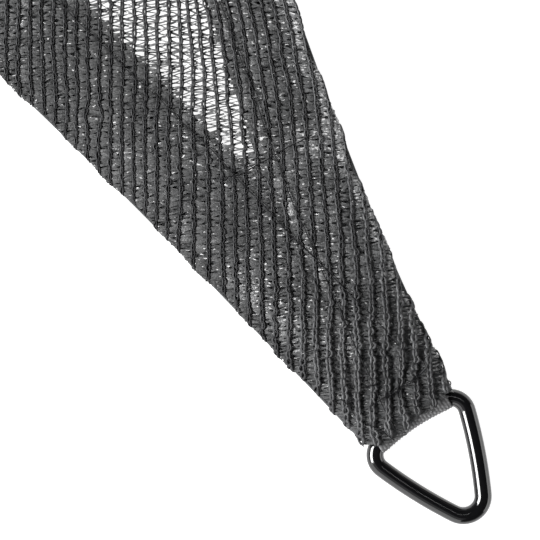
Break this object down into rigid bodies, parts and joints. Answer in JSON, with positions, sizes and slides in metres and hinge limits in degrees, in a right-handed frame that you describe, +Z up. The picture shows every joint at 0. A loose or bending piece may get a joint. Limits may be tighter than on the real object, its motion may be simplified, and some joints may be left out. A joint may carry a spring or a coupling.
{
  "type": "triangular knitted shade sail with corner rings",
  "caption": "Sheer dark knitted shade sail, triangular with concave hemmed edges, and a black triangular ring on webbing at each corner.",
  "frame": {"origin": "middle of the sail, on the surface that it lies on", "axes": "+Z up off the surface, corner a towards -Y, corners b and c towards +X and -X at +Y"},
  "size_m": [2.0796, 1.8, 0.0113],
  "materials": {
    "knit": "charcoal knitted shade net, ribbed, slightly glossy flat tapes",
    "webbing": "grey woven tape",
    "ring": "gloss black coated steel rod"
  },
  "bodies": {
    "root": {"sail_cloth": "knit", "webbing_a": "webbing", "webbing_b": "webbing", "webbing_c": "webbing", "ring_a": "ring", "ring_b": "ring", "ring_c": "ring"}
  },
  "joints": []
}
